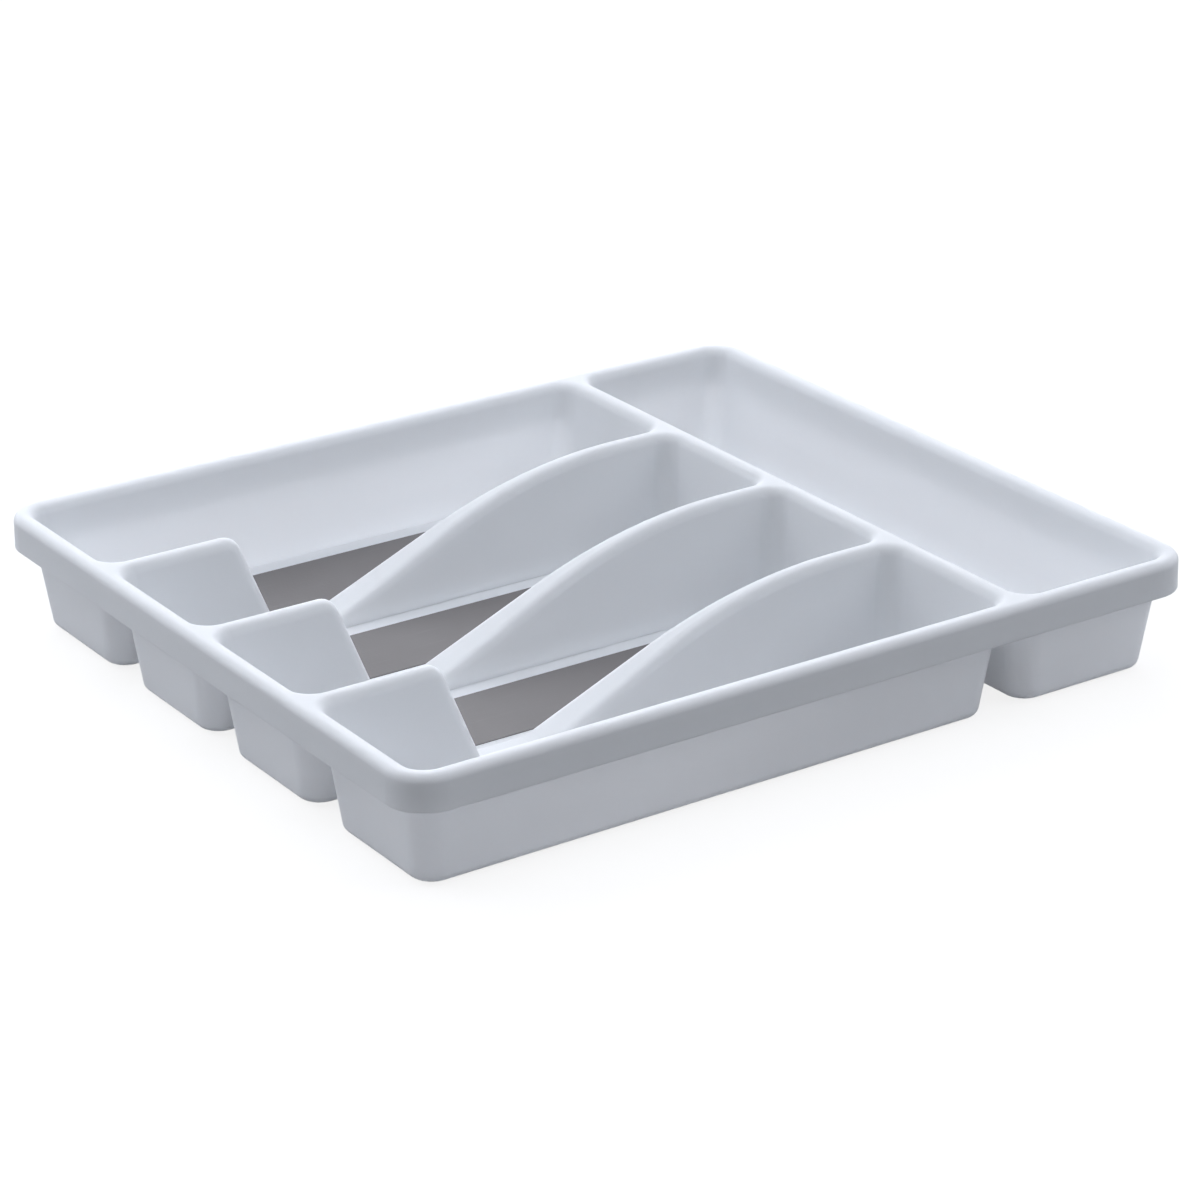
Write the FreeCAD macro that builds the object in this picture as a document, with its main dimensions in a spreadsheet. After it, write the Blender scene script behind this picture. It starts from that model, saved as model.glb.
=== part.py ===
"""Cutlery tray: a thin moulding with five bays and scooped hollow dividers, soft linings and soft feet."""
import FreeCAD
import Part
import math
import operator
import os
from types import SimpleNamespace

import Sketcher

Vector = FreeCAD.Vector

# Sizes in millimetres, angles in degrees
SIZES = [
    ("tray_length", 406.0, "Length over the skirt, front to back"),
    ("tray_width", 355.4, "Width over the skirt, across the bays"),
    ("tray_depth", 54.9, "Rim top down to the undersides of the bays"),
    ("foot_stand", 1.0, "Height the feet hold the bays off the drawer floor"),
    ("skirt_drop", 16.3, "Rim top down to the lower edge of the skirt"),
    ("skirt_draft", 1.2, "Lean of the skirt, narrower upwards"),
    ("skirt_edge_radius", 0.7, "Rounding of both lower edges of the skirt"),
    ("rim_corner_radius", 18.6, "Plan radius of the four rim corners"),
    ("rim_edge_radius", 3.6, "Rounding of the outer top edge of the rim"),
    ("rim_width", 9.2, "Skirt outline in to the mouth of a bay"),
    ("wall", 2.0, "Thickness of every wall of the moulding"),
    ("floor_thickness", 1.6, "Thickness of the bay floors"),
    ("bin_draft", 6.7, "Lean of the bay walls, narrower downwards"),
    ("divider_width", 9.2, "Width of a divider between two bay mouths"),
    ("inner_bay_share", 0.247, "Share of the four long bays' width that each inner bay takes"),
    ("mouth_edge_radius", 4.9, "Rounding of the bay mouths and divider crowns"),
    ("bay_corner_radius", 9.0, "Rounding of the upright corners of the bays"),
    ("floor_edge_radius", 0.6, "Rounding between a bay floor and its walls"),
    ("base_edge_radius", 4.0, "Rounding of the lower edges of the bays, outside"),
    ("cross_bay_width", 82.4, "Mouth of the cross bay, front to back"),
    ("stub_reach", 64.6, "Front of the tray to the end of a divider's level front top"),
    ("stub_corner_radius", 8.2, "Rounding at the top of a divider's steep end"),
    ("stub_end_lean", 20.0, "Lean of the steep end from upright"),
    ("sill_rise", 4.95, "Low sill of a divider above the bay floor"),
    ("sill_front_radius", 5.0, "Bend from the steep end into the sill"),
    ("sill_length", 23.9, "Level length of the sill"),
    ("sill_back_radius", 12.0, "Bend from the sill into the long slope"),
    ("crest_share", 0.857, "Share of the long rise that its two bends take up"),
    ("crest_level", 28.0, "Level top of a divider before the cross bay's divider"),
    ("lining_margin", 8.9, "Bare floor between a bay wall and its lining"),
    ("lining_thickness", 0.7, "Thickness of a lining"),
    ("lining_recess", 0.4, "Depth of the seat of a lining"),
    ("lining_corner_radius", 5.0, "Plan radius of the lining corners"),
    ("lining_edge", 0.2, "Bevel of the top edge of a lining"),
    ("foot_diameter", 12.0, "Diameter of a foot"),
    ("foot_recess", 0.4, "Depth of the seat of a foot"),
    ("foot_inset", 27.0, "Skirt outline in to the middle of a foot"),
    ("foot_edge", 0.4, "Bevel of the lower edge of a foot"),
    ("seat_clearance", 0.3, "Gap around a lining or foot in its seat"),
    ("overrun", 5.0, "Length that cutting shapes run past the moulding"),
]
LEVEL = 1e-4
WALL_SHARE = 0.2
TOP_SHARE = 0.3


class Size:
    """A number with the sheet expression that gives it, so that a sum is bound just as it was worked out."""

    def __init__(self, value, text):
        self.value = value
        self.text = text

    def joined(self, sign, work, other):
        other = other if isinstance(other, Size) else Size(other, repr(other))
        return Size(work(self.value, other.value), f"({self.text} {sign} {other.text})")

    def __add__(self, other):
        return self.joined("+", operator.add, other)

    def __sub__(self, other):
        return self.joined("-", operator.sub, other)

    def __mul__(self, other):
        return self.joined("*", operator.mul, other)

    def __truediv__(self, other):
        return self.joined("/", operator.truediv, other)


NOTHING = Size(0, "0")


def sin(angle):
    return Size(math.sin(math.radians(angle.value)), f"sin({angle.text} * 1 deg)")


def cos(angle):
    return Size(math.cos(math.radians(angle.value)), f"cos({angle.text} * 1 deg)")


def tan(angle):
    return Size(math.tan(math.radians(angle.value)), f"tan({angle.text} * 1 deg)")


def write_sheet(doc):
    """Write the sizes to the sheet and give back each one under its own name."""
    sheet = doc.addObject("Spreadsheet::Sheet", "Sizes")
    sizes = SimpleNamespace()
    for row, (alias, value, meaning) in enumerate(SIZES, start=1):
        sheet.set(f"A{row}", meaning)
        sheet.set(f"B{row}", str(value))
        sheet.setAlias(f"B{row}", alias)
        setattr(sizes, alias, Size(value, f"Sizes.{alias}"))
    doc.recompute()
    return sizes


def bind(thing, values):
    for path, size in values.items():
        thing.setExpression(path, size.text)


def new_body(doc, name):
    body = doc.addObject("PartDesign::Body", name)
    body.Label = name
    return body


def origin_plane(body, role):
    return next(plane for plane in body.Origin.OriginFeatures if plane.Role == role)


def new_sketch(body, name, role="XY_Plane", x=None, y=None, z=None):
    """Add a sketch on one of the body's own planes, shifted by the bound offsets."""
    sketch = body.newObject("Sketcher::SketchObject", name)
    sketch.AttachmentSupport = [(origin_plane(body, role), "")]
    sketch.MapMode = "FlatFace"
    offset = {"x": x, "y": y, "z": z}
    bind(sketch, {f"AttachmentOffset.Base.{axis}": size for axis, size in offset.items() if size})
    return sketch


def new_level(body, name, z):
    """Add a level plane to a body at the bound height."""
    plane = body.newObject("PartDesign::Plane", name)
    plane.AttachmentSupport = [(origin_plane(body, "XY_Plane"), "")]
    plane.MapMode = "FlatFace"
    bind(plane, {"AttachmentOffset.Base.z": z})
    return plane


def hold(sketch, alias, kind, *where, size, unit=""):
    """Add a named dimension to a sketch and bind it."""
    start = math.radians(size.value) if kind == "Angle" else size.value
    index = sketch.addConstraint(Sketcher.Constraint(kind, *where, start))
    sketch.renameConstraint(index, alias)
    sketch.setExpression(f"Constraints.{alias}", f"{size.text}{unit}")


def draw_rectangle(sketch, width, length):
    """Draw a rectangle about the sketch origin."""
    half_width = width.value / 2
    half_length = length.value / 2
    points = [
        Vector(-half_width, -half_length, 0),
        Vector(half_width, -half_length, 0),
        Vector(half_width, half_length, 0),
        Vector(-half_width, half_length, 0),
    ]
    lines = [sketch.addGeometry(Part.LineSegment(points[index - 1], points[index])) for index in range(4)]
    for index, line in enumerate(lines):
        sketch.addConstraint(Sketcher.Constraint("Coincident", lines[index - 1], 2, line, 1))
        sketch.addConstraint(Sketcher.Constraint("Horizontal" if index % 2 else "Vertical", line))
    sketch.addConstraint(Sketcher.Constraint("Symmetric", lines[0], 1, lines[2], 1, -1, 1))
    hold(sketch, "width", "DistanceX", lines[1], 1, lines[1], 2, size=width)
    hold(sketch, "length", "DistanceY", lines[2], 1, lines[2], 2, size=length)


def draw_rounded_rectangle(sketch, width, length, radius):
    """Draw a rectangle with round corners about the sketch origin."""
    half_width = width.value / 2
    half_length = length.value / 2
    flat_x = half_width - radius.value
    flat_y = half_length - radius.value
    sides = [
        ((-flat_x, -half_length), (flat_x, -half_length)),
        ((half_width, -flat_y), (half_width, flat_y)),
        ((flat_x, half_length), (-flat_x, half_length)),
        ((-half_width, flat_y), (-half_width, -flat_y)),
    ]
    centres = [(flat_x, -flat_y), (flat_x, flat_y), (-flat_x, flat_y), (-flat_x, -flat_y)]
    lines = [sketch.addGeometry(Part.LineSegment(Vector(*a, 0), Vector(*b, 0))) for a, b in sides]
    arcs = []
    for turn, centre in enumerate(centres, start=-1):
        circle = Part.Circle(Vector(*centre, 0), Vector(0, 0, 1), radius.value)
        quarter = math.pi / 2
        arcs.append(sketch.addGeometry(Part.ArcOfCircle(circle, turn * quarter, (turn + 1) * quarter)))
    for index in range(4):
        following = lines[(index + 1) % 4]
        direction = "Vertical" if index % 2 else "Horizontal"
        sketch.addConstraint(Sketcher.Constraint("Tangent", lines[index], 2, arcs[index], 1))
        sketch.addConstraint(Sketcher.Constraint("Tangent", arcs[index], 2, following, 1))
        sketch.addConstraint(Sketcher.Constraint(direction, lines[index]))
    for arc in arcs[1:]:
        sketch.addConstraint(Sketcher.Constraint("Equal", arcs[0], arc))
    sketch.addConstraint(Sketcher.Constraint("Symmetric", arcs[0], 3, arcs[2], 3, -1, 1))
    hold(sketch, "width", "DistanceX", lines[3], 1, lines[1], 1, size=width)
    hold(sketch, "length", "DistanceY", lines[0], 1, lines[2], 1, size=length)
    hold(sketch, "corner", "Radius", arcs[0], size=radius)


def draw_circle(sketch, diameter):
    circle = sketch.addGeometry(Part.Circle(Vector(0, 0, 0), Vector(0, 0, 1), diameter.value / 2))
    sketch.addConstraint(Sketcher.Constraint("Coincident", circle, 3, -1, 1))
    hold(sketch, "diameter", "Diameter", circle, size=diameter)


def draw_scoop(sketch, scoop, sink):
    """Draw the side view of the space above a divider, or the same sunk by a wall."""
    top = scoop.top - sink
    sill = scoop.sill - sink
    radii = [
        scoop.stub_radius - sink,
        scoop.front_radius + sink,
        scoop.back_radius + sink,
        scoop.crest_radius - sink,
    ]
    stub, sill_front, sill_back, crest = (radius.value for radius in radii)
    both = sill_back + crest
    drop = top.value - sill.value
    reach = math.hypot(scoop.run.value, both - drop)
    rise = math.atan2(scoop.run.value, both - drop) - math.acos(both / reach)
    rise_normal = rise + math.pi / 2
    steep_normal = math.radians(scoop.lean.value)
    stub_centre = Vector(-scoop.front.value, top.value - stub, 0)
    crest_centre = Vector(scoop.back.value, top.value - crest, 0)
    front_centre = Vector(stub_centre.x + scoop.steep_run.value, sill.value + sill_front, 0)
    back_centre = Vector(crest_centre.x - scoop.run.value, sill.value + sill_back, 0)

    def arc(centre, radius, start, end):
        circle = Part.Circle(centre, Vector(0, 0, 1), radius)
        return sketch.addGeometry(Part.ArcOfCircle(circle, start, end))

    def rim(centre, radius, angle):
        return centre + Vector(radius * math.cos(angle), radius * math.sin(angle), 0)

    def line(start, end):
        return sketch.addGeometry(Part.LineSegment(start, end))

    up = math.pi / 2
    down = 3 * up
    stub_top = Vector(stub_centre.x, top.value, 0)
    crest_top = Vector(crest_centre.x, top.value, 0)
    stub_roof = Vector(stub_centre.x, scoop.roof.value, 0)
    crest_roof = Vector(crest_centre.x, scoop.roof.value, 0)
    stub_arc = arc(stub_centre, stub, steep_normal, up)
    steep_foot = rim(front_centre, sill_front, steep_normal + math.pi)
    steep_line = line(steep_foot, rim(stub_centre, stub, steep_normal))
    front_arc = arc(front_centre, sill_front, steep_normal + math.pi, down)
    sill_line = line(rim(front_centre, sill_front, down), rim(back_centre, sill_back, down))
    back_arc = arc(back_centre, sill_back, down, rise_normal + math.pi)
    slope_foot = rim(back_centre, sill_back, rise_normal + math.pi)
    slope_line = line(slope_foot, rim(crest_centre, crest, rise_normal))
    crest_arc = arc(crest_centre, crest, up, rise_normal)
    back_line = line(crest_top, crest_roof)
    roof_line = line(crest_roof, stub_roof)
    front_line = line(stub_roof, stub_top)
    rules = [
        ("Tangent", stub_arc, 1, steep_line, 2),
        ("Tangent", steep_line, 1, front_arc, 1),
        ("Tangent", front_arc, 2, sill_line, 1),
        ("Tangent", sill_line, 2, back_arc, 1),
        ("Tangent", back_arc, 2, slope_line, 1),
        ("Tangent", slope_line, 2, crest_arc, 2),
        ("Coincident", crest_arc, 1, back_line, 1),
        ("Coincident", back_line, 2, roof_line, 1),
        ("Coincident", roof_line, 2, front_line, 1),
        ("Coincident", front_line, 2, stub_arc, 2),
        ("Horizontal", sill_line),
        ("Horizontal", roof_line),
        ("Vertical", back_line),
        ("Vertical", front_line),
        ("Vertical", stub_arc, 3, stub_arc, 2),
        ("Vertical", crest_arc, 3, crest_arc, 1),
    ]
    for rule in rules:
        sketch.addConstraint(Sketcher.Constraint(*rule))
    hold(sketch, "stub_radius", "Radius", stub_arc, size=radii[0])
    hold(sketch, "front_radius", "Radius", front_arc, size=radii[1])
    hold(sketch, "back_radius", "Radius", back_arc, size=radii[2])
    hold(sketch, "crest_radius", "Radius", crest_arc, size=radii[3])
    hold(sketch, "steep", "Angle", steep_line, size=scoop.lean + 90, unit=" * 1 deg")
    hold(sketch, "sill_length", "DistanceX", sill_line, 1, sill_line, 2, size=scoop.sill_length)
    hold(sketch, "stub_level", "DistanceY", -1, 1, stub_arc, 2, size=top)
    hold(sketch, "crest_level", "DistanceY", -1, 1, crest_arc, 1, size=top)
    hold(sketch, "sill_level", "DistanceY", -1, 1, sill_line, 1, size=sill)
    hold(sketch, "roof_level", "DistanceY", -1, 1, roof_line, 1, size=scoop.roof)
    hold(sketch, "stub_place", "DistanceX", stub_arc, 2, -1, 1, size=scoop.front)
    hold(sketch, "crest_place", "DistanceX", -1, 1, crest_arc, 1, size=scoop.back)


def pad(body, name, sketch, length, below=None, symmetric=False):
    """Thicken a sketch upwards, and below its plane as well where asked, or by halves to both sides."""
    feature = body.newObject("PartDesign::Pad", name)
    feature.Profile = sketch
    bind(feature, {"Length": length})
    if below:
        feature.SideType = "Two sides"
        bind(feature, {"Length2": below})
    if symmetric:
        feature.SideType = "Symmetric"
    body.Document.recompute()
    return feature


def pocket(body, name, sketch, depth, upwards=False):
    feature = body.newObject("PartDesign::Pocket", name)
    feature.Profile = sketch
    feature.Reversed = upwards
    bind(feature, {"Length": depth})
    body.Document.recompute()
    return feature


def upward(face, point):
    """How far the face looks up at a point, from minus one to one."""
    return face.normalAt(*face.Surface.parameter(point)).z


def middle(edge):
    return edge.valueAt((edge.FirstParameter + edge.LastParameter) / 2)


def side_faces(shape, low, high):
    """Name the upright faces that span the two levels."""
    names = []
    for index, face in enumerate(shape.Faces, start=1):
        box = face.BoundBox
        spans = box.ZMin < low.value + LEVEL and box.ZMax > high.value - LEVEL
        if spans and abs(upward(face, middle(face.Edges[0]))) < LEVEL:
            names.append(f"Face{index}")
    return names


def lean(body, name, base, plane, angle, low, high, inwards_below=False):
    """Draft the upright faces of a feature about a plane, narrower upwards or downwards."""
    feature = body.newObject("PartDesign::Draft", name)
    feature.Base = (base, side_faces(base.Shape, low, high))
    feature.NeutralPlane = (plane, [""])
    feature.Reversed = inwards_below
    bind(feature, {"Angle": angle})
    body.Document.recompute()
    return feature


def level_edges(shape, level):
    """Name the edges that lie at one level."""
    names = []
    for index, edge in enumerate(shape.Edges, start=1):
        if all(abs(point.z - level.value) < LEVEL for point in edge.discretize(3)):
            names.append(f"Edge{index}")
    return names


def rising_edges(shape):
    """Name the edges that climb from one level to another."""
    names = []
    for index, edge in enumerate(shape.Edges, start=1):
        if edge.BoundBox.ZLength > LEVEL:
            names.append(f"Edge{index}")
    return names


def mouth_edges(shape):
    """Name the edges where a bay wall meets the rim top or a divider top."""
    names = []
    for index, edge in enumerate(shape.Edges, start=1):
        point = middle(edge)
        looks = sorted(upward(face, point) for face in shape.ancestorsOfType(edge, Part.Face))
        if len(looks) == 2 and abs(looks[0]) < WALL_SHARE and looks[1] > TOP_SHARE:
            names.append(f"Edge{index}")
    return names


def round_edges(body, name, base, edges, radius):
    feature = body.newObject("PartDesign::Fillet", name)
    feature.Base = (base, edges)
    bind(feature, {"Radius": radius})
    body.Document.recompute()
    return feature


def bevel_edges(body, name, base, edges, size):
    feature = body.newObject("PartDesign::Chamfer", name)
    feature.Base = (base, edges)
    bind(feature, {"Size": size})
    body.Document.recompute()
    return feature


def cut(body, name, tools):
    feature = body.newObject("PartDesign::Boolean", name)
    feature.Type = "Cut"
    feature.setObjects(tools)
    body.Document.recompute()
    return feature


def bay_solid(doc, name, bay, wall, depth, edge_radius, sizes):
    """Model the space of one bay, or its outer form when a wall is added, from above its mouth down."""
    body = new_body(doc, name)
    plane = new_level(body, f"{name}_level", bay.top)
    sketch = new_sketch(body, f"{name}_mouth", x=bay.x, y=bay.y, z=bay.top)
    growth = wall / cos(sizes.bin_draft)
    draw_rectangle(sketch, bay.width + growth * 2, bay.length + growth * 2)
    block = pad(body, f"{name}_block", sketch, sizes.overrun, below=depth)
    foot = bay.top - depth
    head = bay.top + sizes.overrun
    leaned = lean(body, f"{name}_lean", block, plane, sizes.bin_draft, foot, head, inwards_below=True)
    upright = rising_edges(leaned.Shape)
    cornered = round_edges(body, f"{name}_corners", leaned, upright, sizes.bay_corner_radius + wall)
    round_edges(body, f"{name}_edge", cornered, level_edges(cornered.Shape, foot), edge_radius)
    return body


def build(doc):
    sizes = write_sheet(doc)
    rim_top = sizes.foot_stand + sizes.tray_depth
    skirt_foot = rim_top - sizes.skirt_drop
    floor_level = sizes.foot_stand + sizes.floor_thickness
    bay_depth = sizes.tray_depth - sizes.floor_thickness
    skirt_growth = sizes.wall / cos(sizes.skirt_draft)

    # Mouths of the bays
    mouth_width = sizes.tray_width - sizes.rim_width * 2
    mouth_length = sizes.tray_length - sizes.rim_width * 2
    all_widths = mouth_width - sizes.divider_width * 3
    inner_width = all_widths * sizes.inner_bay_share
    outer_width = all_widths / 2 - inner_width
    bay_length = mouth_length - sizes.divider_width - sizes.cross_bay_width
    pitch = inner_width + sizes.divider_width
    outer_x = (mouth_width - outer_width) / 2
    bays = []
    for number, x, width in (
        (1, NOTHING - outer_x, outer_width),
        (2, NOTHING - pitch / 2, inner_width),
        (3, pitch / 2, inner_width),
        (4, outer_x, outer_width),
    ):
        bays.append(SimpleNamespace(
            name=f"bay_{number}",
            x=x,
            y=(bay_length - mouth_length) / 2,
            top=rim_top,
            width=width,
            length=bay_length,
        ))
    bays.append(SimpleNamespace(
        name="cross_bay",
        x=NOTHING,
        y=(mouth_length - sizes.cross_bay_width) / 2,
        top=rim_top,
        width=mouth_width,
        length=sizes.cross_bay_width,
    ))
    hollows = [
        bay_solid(doc, f"hollow_{bay.name}", bay, NOTHING, bay_depth, sizes.floor_edge_radius, sizes)
        for bay in bays
    ]
    shells = [
        bay_solid(doc, f"shell_{bay.name}", bay, sizes.wall, sizes.tray_depth, sizes.base_edge_radius, sizes)
        for bay in bays
    ]

    # Scooped space above the dividers, and the same a wall lower for their undersides
    cross_divider_face = bay_length - mouth_length / 2
    bends = sizes.stub_corner_radius + sizes.sill_front_radius
    drop = bay_depth - sizes.sill_rise
    bend_drop = bends - bends * sin(sizes.stub_end_lean)
    scoop = SimpleNamespace(
        top=rim_top,
        sill=floor_level + sizes.sill_rise,
        roof=rim_top + sizes.overrun,
        front=sizes.tray_length / 2 - sizes.stub_reach,
        back=cross_divider_face - sizes.crest_level,
        lean=sizes.stub_end_lean,
        steep_run=bends * cos(sizes.stub_end_lean) + (drop - bend_drop) * tan(sizes.stub_end_lean),
        sill_length=sizes.sill_length,
        stub_radius=sizes.stub_corner_radius,
        front_radius=sizes.sill_front_radius,
        back_radius=sizes.sill_back_radius,
    )
    scoop.run = scoop.front + scoop.back - scoop.steep_run - scoop.sill_length
    widest_bends = (scoop.run * scoop.run + drop * drop) / drop / 2
    scoop.crest_radius = widest_bends * sizes.crest_share - sizes.sill_back_radius
    scoop_bodies = []
    for name, sink in (("upper_scoop", NOTHING), ("lower_scoop", sizes.wall)):
        body = new_body(doc, name)
        sketch = new_sketch(body, f"{name}_side", role="YZ_Plane")
        draw_scoop(sketch, scoop, sink)
        pad(body, f"{name}_block", sketch, pitch * 3, symmetric=True)
        scoop_bodies.append(body)
    upper_scoop, lower_scoop = scoop_bodies

    # Space under the tray: inside the skirt, around the bays and up into the dividers
    underside = new_body(doc, "underside")
    plane = new_level(underside, "skirt_foot_level", skirt_foot)
    inside = new_sketch(underside, "skirt_inside", z=skirt_foot)
    draw_rounded_rectangle(
        inside,
        sizes.tray_width - skirt_growth * 2,
        sizes.tray_length - skirt_growth * 2,
        sizes.rim_corner_radius - skirt_growth,
    )
    deck = rim_top - sizes.wall
    skirt_space = pad(underside, "skirt_space", inside, sizes.skirt_drop - sizes.wall)
    leaned = lean(underside, "skirt_space_lean", skirt_space, plane, sizes.skirt_draft, skirt_foot, deck)
    deck_radius = sizes.rim_edge_radius - sizes.wall
    round_edges(underside, "skirt_space_deck", leaned, level_edges(leaned.Shape, deck), deck_radius)
    below_foot = sizes.foot_stand - sizes.overrun * 2
    below = new_sketch(underside, "below_skirt", z=below_foot)
    draw_rounded_rectangle(
        below,
        sizes.tray_width + sizes.overrun * 2,
        sizes.tray_length + sizes.overrun * 2,
        sizes.rim_corner_radius + sizes.overrun,
    )
    pad(underside, "below_space", below, skirt_foot - below_foot)
    cut(underside, "around_bays", shells + [lower_scoop])

    # Moulding
    tray = new_body(doc, "tray_body")
    plane = new_level(tray, "skirt_level", skirt_foot)
    outline = new_sketch(tray, "skirt_outline", z=skirt_foot)
    draw_rounded_rectangle(outline, sizes.tray_width, sizes.tray_length, sizes.rim_corner_radius)
    block_foot = sizes.foot_stand - sizes.overrun
    block = pad(tray, "tray_block", outline, sizes.skirt_drop, below=skirt_foot - block_foot)
    leaned = lean(tray, "skirt_lean", block, plane, sizes.skirt_draft, block_foot, rim_top)
    round_edges(tray, "rim_edge", leaned, level_edges(leaned.Shape, rim_top), sizes.rim_edge_radius)
    cut(tray, "scooped_dividers", [upper_scoop])
    hollowed = cut(tray, "hollowed_bays", hollows)
    round_edges(tray, "mouth_edge", hollowed, mouth_edges(hollowed.Shape), sizes.mouth_edge_radius)
    opened = cut(tray, "opened_underside", [underside])
    round_edges(tray, "skirt_edge", opened, level_edges(opened.Shape, skirt_foot), sizes.skirt_edge_radius)

    # Linings in their seats
    parts = [tray]
    floor_inset = bay_depth * tan(sizes.bin_draft) + sizes.lining_margin
    for bay in bays:
        width = bay.width - floor_inset * 2
        length = bay.length - floor_inset * 2
        seat = new_sketch(tray, f"seat_{bay.name}", x=bay.x, y=bay.y, z=floor_level)
        draw_rounded_rectangle(
            seat,
            width + sizes.seat_clearance * 2,
            length + sizes.seat_clearance * 2,
            sizes.lining_corner_radius + sizes.seat_clearance,
        )
        pocket(tray, f"seat_{bay.name}_pocket", seat, sizes.lining_recess)
        lining = new_body(doc, f"lining_{bay.name}")
        lining_foot = floor_level - sizes.lining_recess
        sketch = new_sketch(lining, f"{lining.Label}_outline", x=bay.x, y=bay.y, z=lining_foot)
        draw_rounded_rectangle(sketch, width, length, sizes.lining_corner_radius)
        sheet = pad(lining, f"{lining.Label}_sheet", sketch, sizes.lining_thickness)
        top_edges = level_edges(sheet.Shape, lining_foot + sizes.lining_thickness)
        bevel_edges(lining, f"{lining.Label}_edge", sheet, top_edges, sizes.lining_edge)
        parts.append(lining)

    # Feet in their seats
    foot_x = sizes.tray_width / 2 - sizes.foot_inset
    foot_y = sizes.tray_length / 2 - sizes.foot_inset
    for end, y in (("front", NOTHING - foot_y), ("back", foot_y)):
        for side, x in (("left", NOTHING - foot_x), ("right", foot_x)):
            name = f"foot_{end}_{side}"
            seat = new_sketch(tray, f"{name}_seat", x=x, y=y, z=sizes.foot_stand)
            draw_circle(seat, sizes.foot_diameter + sizes.seat_clearance * 2)
            pocket(tray, f"{name}_seat_pocket", seat, sizes.foot_recess, upwards=True)
            foot = new_body(doc, name)
            sketch = new_sketch(foot, f"{name}_outline", x=x, y=y)
            draw_circle(sketch, sizes.foot_diameter)
            disc = pad(foot, f"{name}_disc", sketch, sizes.foot_stand + sizes.foot_recess)
            bevel_edges(foot, f"{name}_edge", disc, level_edges(disc.Shape, NOTHING), sizes.foot_edge)
            parts.append(foot)
    return parts


def check(doc, parts):
    """Stop where any step failed or a part isn't one sound solid."""
    doc.recompute()
    for thing in doc.Objects:
        if "Invalid" in thing.State or "Error" in thing.State:
            raise RuntimeError(f"{thing.Label} failed: {thing.State}")
    for part in parts:
        if part.Shape.isNull() or not part.Shape.isValid() or len(part.Shape.Solids) != 1:
            raise RuntimeError(f"{part.Label} is not one sound solid")


document = FreeCAD.newDocument("CutleryTray")
tray_parts = build(document)
check(document, tray_parts)
os.makedirs("parts", exist_ok=True)
for tray_part in tray_parts:
    tray_part.Shape.exportStep(f"parts/{tray_part.Label}.step")
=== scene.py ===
"""Dress the cutlery tray: satin white moulding, grey soft grip linings, soft feet and a plain studio."""
import math

import bpy
from bpy.props import FloatProperty, FloatVectorProperty, IntProperty, PointerProperty
from mathutils import Matrix, Vector


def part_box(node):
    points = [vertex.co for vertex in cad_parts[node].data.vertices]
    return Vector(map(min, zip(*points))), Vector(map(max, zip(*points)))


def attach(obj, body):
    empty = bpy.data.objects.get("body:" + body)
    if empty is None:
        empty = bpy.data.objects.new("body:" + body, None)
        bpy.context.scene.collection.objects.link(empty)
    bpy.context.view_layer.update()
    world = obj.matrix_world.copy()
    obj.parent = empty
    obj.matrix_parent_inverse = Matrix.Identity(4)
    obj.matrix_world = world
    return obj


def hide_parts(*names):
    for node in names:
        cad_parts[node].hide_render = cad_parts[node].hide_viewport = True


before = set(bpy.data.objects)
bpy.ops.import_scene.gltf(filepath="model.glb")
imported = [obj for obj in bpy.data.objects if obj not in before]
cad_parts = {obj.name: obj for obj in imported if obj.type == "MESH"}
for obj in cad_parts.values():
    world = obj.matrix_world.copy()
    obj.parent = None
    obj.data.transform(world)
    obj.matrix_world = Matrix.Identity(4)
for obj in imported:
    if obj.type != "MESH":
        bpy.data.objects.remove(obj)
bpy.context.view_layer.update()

bl_info = {
    "name": "Cutlery Tray",
    "version": (1, 0, 0),
    "blender": (4, 5, 0),
    "location": "View3D > Sidebar > Cutlery Tray",
    "description": "Finishes the moulded tray, lays its linings, fits its feet and sets the studio",
    "category": "Object",
}

BODY = "root"
MOULDING = "tray_body"
LINING_PAIRS = (("lining_bay_1", "lining_bay_4"), ("lining_bay_2", "lining_bay_3"))
CROSS_LINING = "lining_cross_bay"
FEET = ["foot_front_left", "foot_front_right", "foot_back_left", "foot_back_right"]
RIM_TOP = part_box(MOULDING)[1].z

MOULDING_FINISH = "Satin White Moulding"
SOFT_FINISH = "Grey Soft Grip"

# Steps in a rounding, and the angle up to which neighbouring faces look like one
LINING_CORNER_STEPS = 10
LINING_EDGE_STEPS = 3
FOOT_EDGE_STEPS = 4
SMOOTH_ANGLE = math.radians(35)

# Lamps: name, place and width in metres, and the setting with the power
LAMPS = (
    ("Top Lamp", (0.28, -0.42, 1.7), 1.4, "top_power"),
    ("Left Lamp", (-0.744, -0.918, 0.923), 1.0, "left_power"),
    ("Right Lamp", (1.22, 1.55, 1.377), 1.4, "right_power"),
    ("Back Lamp", (-0.843, 0.468, 1.149), 1.2, "back_power"),
    ("Front Lamp", (1.687, -1.138, 1.272), 2.2, "front_power"),
)

# The floor as it is seen: its paint, its glow near and far, and the distances between which that changes
SEEN_PAINT = (0.24, 0.24, 0.24)
SEEN_GLOW = (0.84, 1.0)
GLOW_CHANGE = (0.9, 2.2)

# The lit backdrop: the way to it, and the spans over which it ends at its top and at its sides
BACKDROP_WAY = (-0.829, 0.559, 0)
BACKDROP_TOP = (0.28, 0.4)
BACKDROP_SIDES = (0.3, 0.6)

# The camera's film width in millimetres, and how far it sees in metres
FILM_WIDTH = 36.0
SIGHT = 50.0


# Settings

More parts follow.
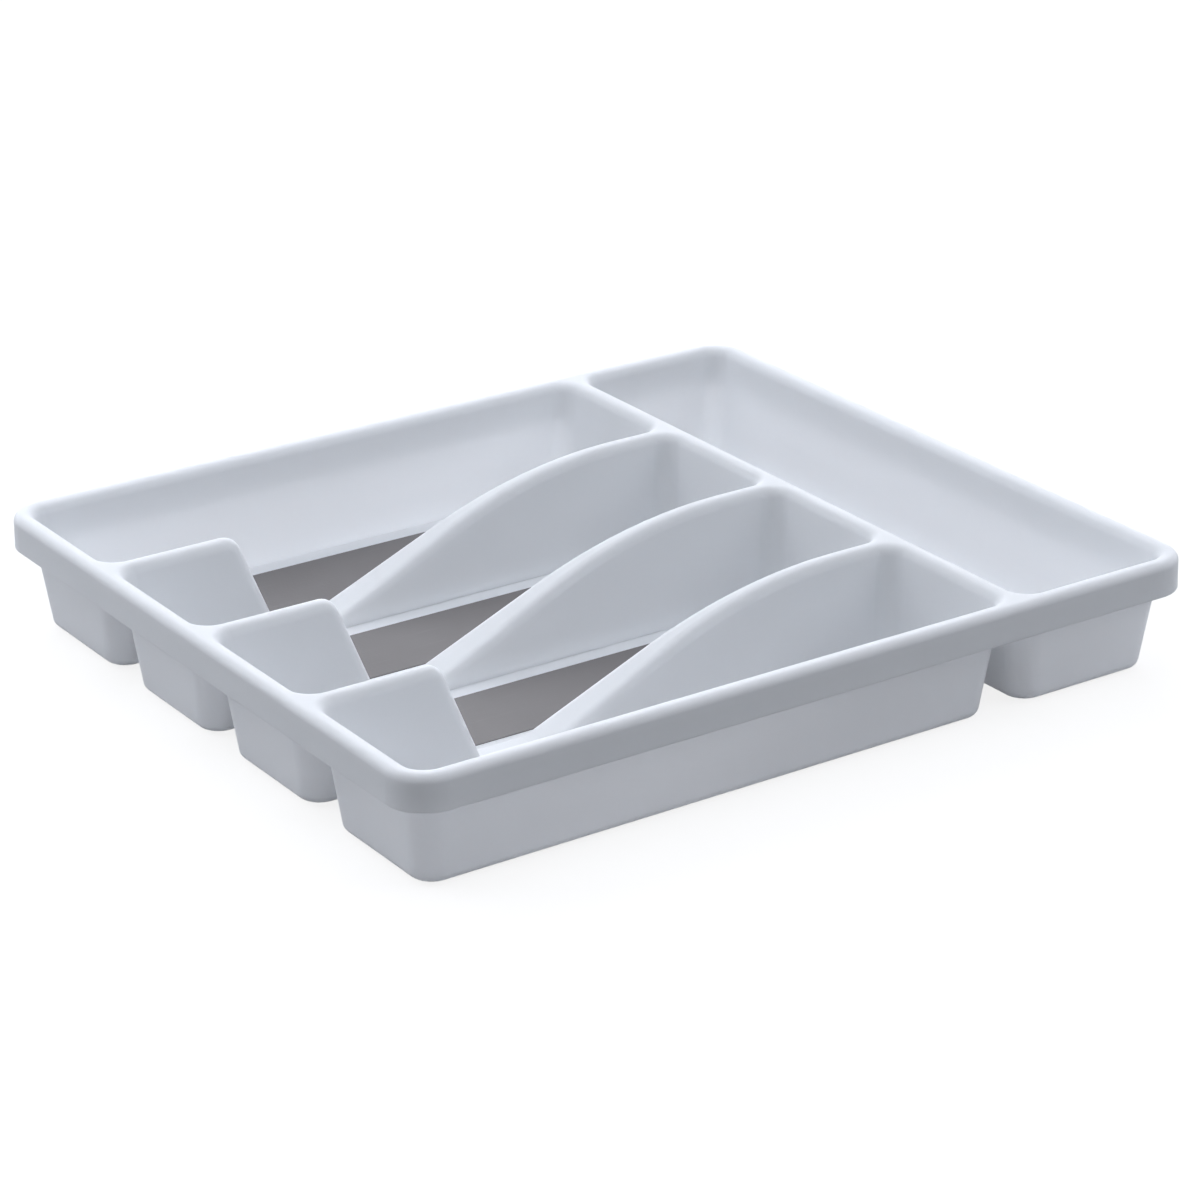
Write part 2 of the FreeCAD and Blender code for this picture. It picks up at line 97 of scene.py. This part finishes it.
class MouldingSettings(bpy.types.PropertyGroup):
    colour: FloatVectorProperty(
        name="Colour",
        description="Cool white of the moulding",
        subtype="COLOR",
        size=3,
        min=0,
        max=1,
        default=(0.95, 0.97, 0.992),
    )
    flow_colour: FloatVectorProperty(
        name="Flow Colour",
        description="Slightly warmer white where the plastic cooled last",
        subtype="COLOR",
        size=3,
        min=0,
        max=1,
        default=(0.956, 0.97, 0.988),
    )
    roughness: FloatProperty(
        name="Roughness",
        description="Roughness of the satin mould finish",
        subtype="FACTOR",
        min=0,
        max=1,
        default=0.5,
    )
    gloss_drift: FloatProperty(
        name="Gloss Drift",
        description="How far the roughness drifts over the moulding",
        subtype="FACTOR",
        min=0,
        max=1,
        default=0.14,
    )
    pit_roughness: FloatProperty(
        name="Pit Roughness",
        description="Roughness that the pits of the grain add",
        subtype="FACTOR",
        min=0,
        max=1,
        default=0.05,
    )
    polish: FloatProperty(
        name="Polish",
        description="Roughness that hands have worn off the top of the rim",
        subtype="FACTOR",
        min=0,
        max=1,
        default=0.09,
    )
    polish_band: FloatProperty(
        name="Polish Band",
        description="Height of the worn band at the top of the rim",
        unit="LENGTH",
        default=0.004,
    )
    glow_depth: FloatProperty(
        name="Glow Depth",
        description="How deep light wanders in the milky plastic",
        unit="LENGTH",
        default=0.005,
    )
    grain_size: FloatProperty(
        name="Grain Size",
        description="Size of the fine grain left by the mould",
        unit="LENGTH",
        default=0.0006,
    )
    grain_height: FloatProperty(
        name="Grain Height",
        description="Depth of the fine grain left by the mould",
        unit="LENGTH",
        default=0.000012,
    )


class LiningSettings(bpy.types.PropertyGroup):
    colour: FloatVectorProperty(
        name="Colour",
        description="Mid grey of the soft grip sheet",
        subtype="COLOR",
        size=3,
        min=0,
        max=1,
        default=(0.172, 0.16, 0.157),
    )
    bloom_colour: FloatVectorProperty(
        name="Bloom Colour",
        description="Paler grey where the sheet has a faint bloom",
        subtype="COLOR",
        size=3,
        min=0,
        max=1,
        default=(0.195, 0.183, 0.179),
    )
    corner: FloatProperty(
        name="Corner",
        description="Plan radius of the corners of a lining",
        unit="LENGTH",
        default=0.005,
    )
    edge: FloatProperty(
        name="Edge",
        description="Rounding of the top edge of a lining",
        unit="LENGTH",
        default=0.00025,
    )
    roughness: FloatProperty(
        name="Roughness",
        description="Roughness of the soft grip sheet",
        subtype="FACTOR",
        min=0,
        max=1,
        default=0.62,
    )
    gloss_drift: FloatProperty(
        name="Gloss Drift",
        description="How far the roughness drifts over the sheet",
        subtype="FACTOR",
        min=0,
        max=1,
        default=0.16,
    )
    rub: FloatProperty(
        name="Rub",
        description="Roughness that the rub marks have worn off",
        subtype="FACTOR",
        min=0,
        max=1,
        default=0.06,
    )
    grain_size: FloatProperty(
        name="Grain Size",
        description="Size of the pebble grain of the sheet",
        unit="LENGTH",
        default=0.0011,
    )
    grain_height: FloatProperty(
        name="Grain Height",
        description="Depth of the pebble grain of the sheet",
        unit="LENGTH",
        default=0.00003,
    )


class FootSettings(bpy.types.PropertyGroup):
    facets: IntProperty(
        name="Facets",
        description="Facets around a foot",
        min=24,
        max=128,
        default=64,
    )
    edge: FloatProperty(
        name="Edge",
        description="Rounding of the lower edge of a foot",
        unit="LENGTH",
        default=0.0004,
    )
    ring: FloatProperty(
        name="Ring",
        description="Width of the ring that a foot stands on",
        unit="LENGTH",
        default=0.0018,
    )
    dish: FloatProperty(
        name="Dish",
        description="Depth of the hollow inside the ring",
        unit="LENGTH",
        default=0.0003,
    )


class StageSettings(bpy.types.PropertyGroup):
    floor_colour: FloatVectorProperty(
        name="Floor Colour",
        description="Colour of the floor for the light that it throws back",
        subtype="COLOR",
        size=3,
        min=0,
        max=1,
        default=(0.45, 0.45, 0.45),
    )
    floor_size: FloatProperty(
        name="Floor Size",
        description="Width of the floor",
        unit="LENGTH",
        default=12.0,
    )
    eye: FloatVectorProperty(
        name="Eye",
        description="Place of the camera from the middle of the rim",
        subtype="TRANSLATION",
        unit="LENGTH",
        size=3,
        default=(1.3303, -0.8942, 0.64465),
    )
    turn: FloatProperty(
        name="Turn",
        description="Turn of the camera about the tray, from straight before its front end",
        subtype="ANGLE",
        default=math.radians(55.896),
    )
    tilt: FloatProperty(
        name="Tilt",
        description="How far the camera looks down",
        subtype="ANGLE",
        default=math.radians(22.941),
    )
    roll: FloatProperty(
        name="Roll",
        description="Roll of the camera",
        subtype="ANGLE",
        default=math.radians(0.417),
    )
    lens: FloatProperty(
        name="Lens",
        description="Focal length in millimetres on a 36 mm film",
        default=115.986,
    )
    top_power: FloatProperty(
        name="Top Lamp",
        description="Power of the wide lamp above the tray, a little towards the camera",
        unit="POWER",
        default=13.6,
    )
    left_power: FloatProperty(
        name="Left Lamp",
        description="Power of the lamp to the left, beyond the front end",
        unit="POWER",
        default=7.0,
    )
    right_power: FloatProperty(
        name="Right Lamp",
        description="Power of the lamp to the right, beyond the cross bay",
        unit="POWER",
        default=16.0,
    )
    back_power: FloatProperty(
        name="Back Lamp",
        description="Power of the lamp behind the tray",
        unit="POWER",
        default=9.6,
    )
    front_power: FloatProperty(
        name="Front Lamp",
        description="Power of the wide lamp beyond the camera",
        unit="POWER",
        default=3.8,
    )
    backdrop_strength: FloatProperty(
        name="Backdrop Strength",
        description="Strength of the bright backdrop low behind the tray",
        min=0,
        default=3.0,
    )
    light_colour: FloatVectorProperty(
        name="Light Colour",
        description="Cool white of the lamps and the backdrop",
        subtype="COLOR",
        size=3,
        min=0,
        max=1,
        default=(0.872, 0.914, 1.0),
    )


class TraySettings(bpy.types.PropertyGroup):
    moulding: PointerProperty(
        type=MouldingSettings,
        name="Moulding",
        description="Finish of the moulding",
    )
    lining: PointerProperty(
        type=LiningSettings,
        name="Linings",
        description="Shape and finish of the linings",
    )
    foot: PointerProperty(
        type=FootSettings,
        name="Feet",
        description="Shape of the feet",
    )
    stage: PointerProperty(
        type=StageSettings,
        name="Stage",
        description="Floor, lamps, backdrop and camera",
    )


# Nodes

def feed(tree, socket, value):
    """Link a node's output to a socket, or set the socket to a plain value."""
    if isinstance(value, bpy.types.NodeSocket):
        tree.links.new(value, socket)
    else:
        socket.default_value = value


def set_values(node, values):
    """Set a node's sockets to plain values by their names."""
    for label, value in values.items():
        node.inputs[label].default_value = value


def noise(tree, vector, scale, detail, roughness=0.5):
    """Add a noise texture and give its value."""
    node = tree.nodes.new("ShaderNodeTexNoise")
    feed(tree, node.inputs["Vector"], vector)
    feed(tree, node.inputs["Scale"], scale)
    set_values(node, {"Detail": detail, "Roughness": roughness})
    return node.outputs["Fac"]


def math_node(tree, operation, *values):
    """Reckon with numbers or outputs, and give the result."""
    node = tree.nodes.new("ShaderNodeMath")
    node.operation = operation
    for socket, value in zip(node.inputs, values):
        feed(tree, socket, value)
    return node.outputs[0]


def vector_math(tree, operation, *vectors):
    """Reckon with vectors, and give the number that results."""
    node = tree.nodes.new("ShaderNodeVectorMath")
    node.operation = operation
    for socket, vector in zip(node.inputs, vectors):
        feed(tree, socket, vector)
    return node.outputs["Value"]


def height_of(tree, vector):
    """Take the upward part out of a vector."""
    split = tree.nodes.new("ShaderNodeSeparateXYZ")
    tree.links.new(vector, split.inputs[0])
    return split.outputs["Z"]


def map_range(tree, value, span, result):
    """Turn a span of a value smoothly into a run from one result to the other."""
    node = tree.nodes.new("ShaderNodeMapRange")
    node.interpolation_type = "SMOOTHSTEP"
    tree.links.new(value, node.inputs["Value"])
    labels = ("From Min", "From Max", "To Min", "To Max")
    set_values(node, dict(zip(labels, (*span, *result))))
    return node.outputs[0]


def mix_colour(tree, share, first, second):
    """Mix two colours. The node's colour sockets come after those for numbers and vectors."""
    node = tree.nodes.new("ShaderNodeMix")
    node.data_type = "RGBA"
    factor, first_colour, second_colour = node.inputs[0], node.inputs[6], node.inputs[7]
    tree.links.new(share, factor)
    tree.links.new(first, first_colour)
    tree.links.new(second, second_colour)
    return node.outputs[2]


def new_group(name, inputs, outputs):
    """Add an empty shader node group with the named sockets, and give its tree and end nodes."""
    tree = bpy.data.node_groups.new(name, "ShaderNodeTree")
    for label, kind in inputs:
        tree.interface.new_socket(label, in_out="INPUT", socket_type=kind)
    for label, kind in outputs:
        tree.interface.new_socket(label, in_out="OUTPUT", socket_type=kind)
    return tree, tree.nodes.new("NodeGroupInput"), tree.nodes.new("NodeGroupOutput")


def place_group(tree, group, values):
    """Place a node group, feed its sockets and give its outputs."""
    node = tree.nodes.new("ShaderNodeGroup")
    node.node_tree = group
    for label, value in values.items():
        feed(tree, node.inputs[label], value)
    return node.outputs


# Materials

def grain_group():
    """Fine grain of a textured mould: a height, and a mask of its pits."""
    name = "Mould Grain"
    if name in bpy.data.node_groups:
        return bpy.data.node_groups[name]
    tree, ends_in, ends_out = new_group(
        name,
        [("Vector", "NodeSocketVector"), ("Scale", "NodeSocketFloat")],
        [("Height", "NodeSocketFloat"), ("Pits", "NodeSocketFloat")],
    )
    vector, scale = ends_in.outputs["Vector"], ends_in.outputs["Scale"]
    fine = noise(tree, vector, scale, detail=2.0)
    cells = tree.nodes.new("ShaderNodeTexVoronoi")
    cells.feature = "SMOOTH_F1"
    tree.links.new(vector, cells.inputs["Vector"])
    tree.links.new(scale, cells.inputs["Scale"])
    fine_share = 0.6
    height = math_node(tree, "MULTIPLY_ADD", fine, fine_share, cells.outputs["Distance"])
    pits = map_range(tree, fine, span=(0.35, 0.65), result=(1.0, 0.0))
    tree.links.new(height, ends_out.inputs["Height"])
    tree.links.new(pits, ends_out.inputs["Pits"])
    return tree


def flow_group():
    """Slow drift of colour and gloss over a moulded surface."""
    name = "Mould Flow"
    if name in bpy.data.node_groups:
        return bpy.data.node_groups[name]
    tree, ends_in, ends_out = new_group(
        name,
        [
            ("Vector", "NodeSocketVector"),
            ("First", "NodeSocketColor"),
            ("Second", "NodeSocketColor"),
            ("Roughness", "NodeSocketFloat"),
            ("Spread", "NodeSocketFloat"),
        ],
        [("Colour", "NodeSocketColor"), ("Roughness", "NodeSocketFloat")],
    )
    given = ends_in.outputs
    broad = noise(tree, given["Vector"], scale=7.0, detail=2.0)
    share = map_range(tree, broad, span=(0.3, 0.7), result=(0.0, 1.0))
    colour = mix_colour(tree, share, given["First"], given["Second"])
    clouds = noise(tree, given["Vector"], scale=38.0, detail=4.0, roughness=0.6)
    middle = 0.5
    centred = math_node(tree, "SUBTRACT", clouds, middle)
    drift = math_node(tree, "MULTIPLY", centred, given["Spread"])
    rough = math_node(tree, "ADD", given["Roughness"], drift)
    tree.links.new(colour, ends_out.inputs["Colour"])
    tree.links.new(rough, ends_out.inputs["Roughness"])
    return tree


def start_material(name):
    """Make a material with a bare Principled shader and object coordinates."""
    material = bpy.data.materials.new(name)
    material.use_nodes = True
    tree = material.node_tree
    shader = tree.nodes["Principled BSDF"]
    where = tree.nodes.new("ShaderNodeTexCoord").outputs["Object"]
    return material, tree, shader, where


def place_flow(tree, where, settings, second_colour):
    """Place the slow drift between a finish's two colours."""
    return place_group(tree, flow_group(), {
        "Vector": where,
        "First": (*settings.colour, 1),
        "Second": (*second_colour, 1),
        "Roughness": settings.roughness,
        "Spread": settings.gloss_drift,
    })


def place_grain(tree, where, settings):
    """Place the grain at a finish's own size."""
    return place_group(tree, grain_group(), {"Vector": where, "Scale": 1 / settings.grain_size})


def add_bump(tree, shader, height, distance):
    """Raise a shader's surface by a pattern of heights."""
    bump = tree.nodes.new("ShaderNodeBump")
    set_values(bump, {"Strength": 1.0, "Distance": distance})
    tree.links.new(height, bump.inputs["Height"])
    tree.links.new(bump.outputs["Normal"], shader.inputs["Normal"])


def moulding_material(settings):
    """Milky satin white plastic with fine mould grain, slow drift, and a rim polished by hands."""
    material, tree, shader, where = start_material(MOULDING_FINISH)
    flow = place_flow(tree, where, settings, settings.flow_colour)
    grain = place_grain(tree, where, settings)
    band = (RIM_TOP - settings.polish_band, RIM_TOP)
    handled = map_range(tree, height_of(tree, where), span=band, result=(0.0, 1.0))
    touches = noise(tree, where, scale=55.0, detail=3.0)
    patches = map_range(tree, touches, span=(0.42, 0.62), result=(0.0, settings.polish))
    polish = math_node(tree, "MULTIPLY", handled, patches)
    pitted = math_node(tree, "MULTIPLY", grain["Pits"], settings.pit_roughness)
    rough = math_node(tree, "ADD", flow["Roughness"], pitted)
    worn = math_node(tree, "SUBTRACT", rough, polish)
    tree.links.new(flow["Colour"], shader.inputs["Base Color"])
    tree.links.new(worn, shader.inputs["Roughness"])
    add_bump(tree, shader, grain["Height"], settings.grain_height)
    set_values(shader, {
        "IOR": 1.49,
        "Specular IOR Level": 0.2,
        "Subsurface Weight": 1.0,
        "Subsurface Radius": (1.03, 1.0, 0.99),
        "Subsurface Scale": settings.glow_depth,
    })
    return material


def soft_grip_material(settings):
    """Matte grey soft grip with a pebble grain, a faint bloom and light rub marks along its length."""
    material, tree, shader, where = start_material(SOFT_FINISH)
    flow = place_flow(tree, where, settings, settings.bloom_colour)
    grain = place_grain(tree, where, settings)
    lengthways = tree.nodes.new("ShaderNodeMapping")
    lengthways.inputs["Scale"].default_value = (1.0, 0.06, 1.0)
    tree.links.new(where, lengthways.inputs["Vector"])
    streaks = noise(tree, lengthways.outputs[0], scale=420.0, detail=3.0)
    rubbed = map_range(tree, streaks, span=(0.6, 0.74), result=(0.0, settings.rub))
    worn = math_node(tree, "SUBTRACT", flow["Roughness"], rubbed)
    tree.links.new(flow["Colour"], shader.inputs["Base Color"])
    tree.links.new(worn, shader.inputs["Roughness"])
    add_bump(tree, shader, grain["Height"], settings.grain_height)
    shader.inputs["IOR"].default_value = 1.45
    return material


def made_once(name, maker, settings):
    """Find a finish by its name, or make it."""
    return bpy.data.materials.get(name) or maker(settings)


def dress(piece, material):
    """Give a piece one finish in place of any other."""
    piece.data.materials.clear()
    piece.data.materials.append(material)


# Modelling

def start_clean():
    """Go to object mode with nothing selected."""
    if bpy.context.mode != "OBJECT":
        bpy.ops.object.mode_set(mode="OBJECT")
    bpy.ops.object.select_all(action="DESELECT")


def pick_piece(piece):
    """Select one piece alone and make it active."""
    start_clean()
    piece.select_set(True)
    bpy.context.view_layer.objects.active = piece


def apply_place(piece):
    """Put the picked piece's place and size into its mesh, and name the mesh after it."""
    bpy.ops.object.transform_apply(location=True, rotation=True, scale=True)
    piece.data.name = piece.name


def pick_faces(piece, wanted):
    """Select in edit mode the faces that pass the test."""
    bpy.ops.object.mode_set(mode="OBJECT")
    mesh = piece.data
    for group in (mesh.vertices, mesh.edges):
        group.foreach_set("select", [False] * len(group))
    mesh.polygons.foreach_set("select", [wanted(face) for face in mesh.polygons])
    bpy.ops.object.mode_set(mode="EDIT")
    bpy.ops.mesh.select_mode(type="FACE")


def pick_edges(piece, wanted):
    """Select in edit mode the edges whose two ends both pass the test."""
    bpy.ops.object.mode_set(mode="OBJECT")
    mesh = piece.data
    for group in (mesh.polygons, mesh.vertices):
        group.foreach_set("select", [False] * len(group))
    passed = [wanted(vertex.co) for vertex in mesh.vertices]
    mesh.edges.foreach_set("select", [all(passed[end] for end in edge.vertices) for edge in mesh.edges])
    bpy.ops.object.mode_set(mode="EDIT")
    bpy.ops.mesh.select_mode(type="EDGE")


def is_broad(face, way):
    """Tell whether a face is the broad level one that looks up, way 1, or down, way -1."""
    level, quad_corners = 0.99, 4
    return way * face.normal.z > level and len(face.vertices) > quad_corners


def check_closed(piece):
    """Stop where a piece is left open."""
    uses = {}
    for face in piece.data.polygons:
        for key in face.edge_keys:
            uses[key] = uses.get(key, 0) + 1
    if any(count != 2 for count in uses.values()):
        raise RuntimeError(f"{piece.name} is not closed")


def finish_piece(piece, node, material):
    """Smooth a modelled piece, give it its finish and put it in its CAD node's place."""
    pick_piece(piece)
    bpy.ops.object.shade_smooth_by_angle(angle=SMOOTH_ANGLE)
    check_closed(piece)
    dress(piece, material)
    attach(piece, BODY)
    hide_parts(node)


def model_lining(name, low, high, settings):
    """Cut a sheet to the lining's outline with round corners, thicken it and round its top edge."""
    start_clean()
    size = high - low
    middle = (low + high) / 2
    bpy.ops.mesh.primitive_plane_add(size=1, location=(middle.x, middle.y, low.z))
    piece = bpy.context.object
    piece.name = name
    piece.scale = (size.x, size.y, 1)
    apply_place(piece)
    bpy.ops.object.mode_set(mode="EDIT")
    bpy.ops.mesh.select_all(action="SELECT")
    bpy.ops.mesh.bevel(offset=settings.corner, segments=LINING_CORNER_STEPS, affect="VERTICES")
    bpy.ops.mesh.select_all(action="SELECT")
    bpy.ops.mesh.extrude_region_move(TRANSFORM_OT_translate={"value": (0, 0, size.z)})
    bpy.ops.mesh.select_all(action="SELECT")
    bpy.ops.mesh.normals_make_consistent(inside=False)
    top_quarter = high.z - size.z / 4
    pick_edges(piece, lambda point: point.z > top_quarter)
    bpy.ops.mesh.bevel(offset=settings.edge, segments=LINING_EDGE_STEPS, affect="EDGES")
    pick_faces(piece, lambda face: is_broad(face, 1))
    bpy.ops.mesh.inset(thickness=settings.edge * 2, depth=0)
    bpy.ops.object.mode_set(mode="OBJECT")
    return piece


def model_foot(name, low, high, settings):
    """Turn a disc with a rounded lower edge and a shallow dish inside the ring that it stands on."""
    start_clean()
    size = high - low
    bpy.ops.mesh.primitive_cylinder_add(
        vertices=settings.facets,
        radius=size.x / 2,
        depth=size.z,
        location=(low + high) / 2,
        end_fill_type="NGON",
    )
    piece = bpy.context.object
    piece.name = name
    apply_place(piece)
    bpy.ops.object.mode_set(mode="EDIT")
    bottom_quarter = low.z + size.z / 4
    pick_edges(piece, lambda point: point.z < bottom_quarter)
    bpy.ops.mesh.bevel(offset=settings.edge, segments=FOOT_EDGE_STEPS, affect="EDGES")
    pick_faces(piece, lambda face: is_broad(face, -1))
    bpy.ops.mesh.inset(thickness=settings.ring, depth=0)
    bpy.ops.mesh.inset(thickness=settings.dish, depth=-settings.dish)
    bpy.ops.object.mode_set(mode="OBJECT")
    return piece


def copy_piece(piece, name, shift):
    """Copy a modelled piece with a mesh of its own, moved by a distance."""
    pick_piece(piece)
    bpy.ops.object.duplicate(linked=False)
    copy = bpy.context.object
    copy.name = name
    bpy.ops.transform.translate(value=shift)
    apply_place(copy)
    return copy


# Stage

def show_background(tree, lighting, seen):
    """Keep one shader for the rays that carry light, and show the other to those that look or mirror."""
    rays = tree.nodes.new("ShaderNodeLightPath").outputs
    mirrored = math_node(tree, "MAXIMUM", rays["Is Glossy Ray"], rays["Is Transmission Ray"])
    looking = math_node(tree, "MAXIMUM", rays["Is Camera Ray"], mirrored)
    mix = tree.nodes.new("ShaderNodeMixShader")
    for socket, value in zip(mix.inputs, (looking, lighting, seen)):
        tree.links.new(value, socket)
    return mix.outputs[0]


def matt_paint(tree, colour):
    """Add a matt shader of one colour."""
    paint = tree.nodes.new("ShaderNodeBsdfDiffuse")
    paint.inputs["Color"].default_value = (*colour, 1)
    return paint.outputs[0]


def floor_material(settings):
    """Pale paint that looks white, also far off, and keeps the tray's soft shadow."""
    material, tree, shader, where = start_material("Pale Floor")
    tree.nodes.remove(shader)
    distance = vector_math(tree, "LENGTH", where)
    strength = map_range(tree, distance, span=GLOW_CHANGE, result=SEEN_GLOW)
    glow = tree.nodes.new("ShaderNodeEmission")
    tree.links.new(strength, glow.inputs["Strength"])
    both = tree.nodes.new("ShaderNodeAddShader")
    tree.links.new(matt_paint(tree, SEEN_PAINT), both.inputs[0])
    tree.links.new(glow.outputs[0], both.inputs[1])
    surface = show_background(tree, matt_paint(tree, settings.floor_colour), both.outputs[0])
    tree.links.new(surface, tree.nodes["Material Output"].inputs["Surface"])
    return material


def lay_floor(settings):
    """Lay the wide pale floor under the tray."""
    start_clean()
    bpy.ops.mesh.primitive_plane_add(size=settings.floor_size, location=(0, 0, 0))
    floor = bpy.context.object
    floor.name = "Floor"
    dress(floor, floor_material(settings))


def hang_lamp(name, place, size, power, colour):
    """Hang a square soft lamp that faces the tray."""
    lamp = bpy.data.lights.new(name, "AREA")
    lamp.size = size
    lamp.energy = power
    lamp.color = colour
    holder = bpy.data.objects.new(name, lamp)
    bpy.context.scene.collection.objects.link(holder)
    holder.location = place
    holder.rotation_euler = (-Vector(place)).to_track_quat("-Z", "Y").to_euler()


def set_backdrop(scene, settings):
    """Light the tray from a bright backdrop low behind it, and show white all around."""
    world = bpy.data.worlds.new("Studio")
    world.use_nodes = True
    scene.world = world
    tree = world.node_tree
    where = tree.nodes.new("ShaderNodeTexCoord").outputs["Generated"]
    low = map_range(tree, height_of(tree, where), span=BACKDROP_TOP, result=(1.0, 0.0))
    facing = vector_math(tree, "DOT_PRODUCT", where, BACKDROP_WAY)
    behind = map_range(tree, facing, span=BACKDROP_SIDES, result=(0.0, settings.backdrop_strength))
    light = tree.nodes["Background"]
    light.inputs["Color"].default_value = (*settings.light_colour, 1)
    tree.links.new(math_node(tree, "MULTIPLY", low, behind), light.inputs["Strength"])
    white = tree.nodes.new("ShaderNodeBackground")
    white.inputs["Color"].default_value = (1, 1, 1, 1)
    surface = show_background(tree, light.outputs[0], white.outputs[0])
    tree.links.new(surface, tree.nodes["World Output"].inputs["Surface"])


def set_camera(scene, settings):
    """Put the camera at the photograph's place, turn, tilt and roll."""
    turn, tilt = settings.turn, settings.tilt
    level = math.cos(tilt)
    back = Vector((math.sin(turn) * level, -math.cos(turn) * level, math.sin(tilt)))
    right = (-back).cross(Vector((0, 0, 1))).normalized()
    up = back.cross(right)
    rolled = Matrix.Rotation(-settings.roll, 3, back)
    axes = Matrix((rolled @ right, rolled @ up, back)).transposed()
    lens = bpy.data.cameras.new("Camera")
    lens.sensor_fit = "HORIZONTAL"
    lens.sensor_width = FILM_WIDTH
    lens.lens = settings.lens
    lens.clip_end = SIGHT
    camera = bpy.data.objects.new("Camera", lens)
    scene.collection.objects.link(camera)
    place = Vector(settings.eye) + Vector((0, 0, RIM_TOP))
    camera.matrix_world = Matrix.Translation(place) @ axes.to_4x4()
    scene.camera = camera


# Operators

class TRAY_OT_moulding(bpy.types.Operator):
    """Give the moulding its satin white finish"""

    bl_idname = "tray.moulding"
    bl_label = "Finish Moulding"

    def execute(self, context):
        settings = context.scene.cutlery_tray.moulding
        material = made_once(MOULDING_FINISH, moulding_material, settings)
        dress(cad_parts[MOULDING], material)
        return {"FINISHED"}


class TRAY_OT_linings(bpy.types.Operator):
    """Model the soft grip linings and lay them on the bay floors"""

    bl_idname = "tray.linings"
    bl_label = "Lay Linings"

    def execute(self, context):
        settings = context.scene.cutlery_tray.lining
        material = made_once(SOFT_FINISH, soft_grip_material, settings)
        pieces = {}
        for left, right in LINING_PAIRS:
            low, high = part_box(left)
            pieces[left] = model_lining("soft_" + left, low, high, settings)
            pieces[right] = copy_piece(pieces[left], "soft_" + right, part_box(right)[0] - low)
        pieces[CROSS_LINING] = model_lining("soft_" + CROSS_LINING, *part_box(CROSS_LINING), settings)
        for node, piece in pieces.items():
            finish_piece(piece, node, material)
        return {"FINISHED"}


class TRAY_OT_feet(bpy.types.Operator):
    """Model the soft feet and fit them under the bays"""

    bl_idname = "tray.feet"
    bl_label = "Fit Feet"

    def execute(self, context):
        settings = context.scene.cutlery_tray
        material = made_once(SOFT_FINISH, soft_grip_material, settings.lining)
        low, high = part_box(FEET[0])
        first = model_foot("soft_" + FEET[0], low, high, settings.foot)
        pieces = {FEET[0]: first}
        for node in FEET[1:]:
            pieces[node] = copy_piece(first, "soft_" + node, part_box(node)[0] - low)
        for node, piece in pieces.items():
            finish_piece(piece, node, material)
        return {"FINISHED"}


class TRAY_OT_stage(bpy.types.Operator):
    """Lay the floor, hang the lamps and set the backdrop and the camera"""

    bl_idname = "tray.stage"
    bl_label = "Set Stage"

    def execute(self, context):
        settings = context.scene.cutlery_tray.stage
        lay_floor(settings)
        for name, place, size, power in LAMPS:
            hang_lamp(name, place, size, getattr(settings, power), settings.light_colour)
        set_backdrop(context.scene, settings)
        set_camera(context.scene, settings)
        context.scene.view_settings.view_transform = "Standard"
        return {"FINISHED"}


# Panel

class TRAY_PT_panel(bpy.types.Panel):
    """Steps that dress the cutlery tray"""

    bl_idname = "TRAY_PT_panel"
    bl_label = "Cutlery Tray"
    bl_space_type = "VIEW_3D"
    bl_region_type = "UI"
    bl_category = "Cutlery Tray"

    def draw(self, context):
        settings = context.scene.cutlery_tray
        steps = (
            (settings.moulding, "tray.moulding"),
            (settings.lining, "tray.linings"),
            (settings.foot, "tray.feet"),
            (settings.stage, "tray.stage"),
        )
        for values, step in steps:
            box = self.layout.box()
            for name in values.__annotations__:
                box.prop(values, name)
            box.operator(step)


CLASSES = (
    MouldingSettings,
    LiningSettings,
    FootSettings,
    StageSettings,
    TraySettings,
    TRAY_OT_moulding,
    TRAY_OT_linings,
    TRAY_OT_feet,
    TRAY_OT_stage,
    TRAY_PT_panel,
)


def register():
    for item in CLASSES:
        bpy.utils.register_class(item)
    bpy.types.Scene.cutlery_tray = PointerProperty(type=TraySettings)


def unregister():
    del bpy.types.Scene.cutlery_tray
    for item in reversed(CLASSES):
        bpy.utils.unregister_class(item)


def main():
    register()
    bpy.ops.tray.moulding()
    bpy.ops.tray.linings()
    bpy.ops.tray.feet()
    bpy.ops.tray.stage()


if __name__ == "__main__":
    main()
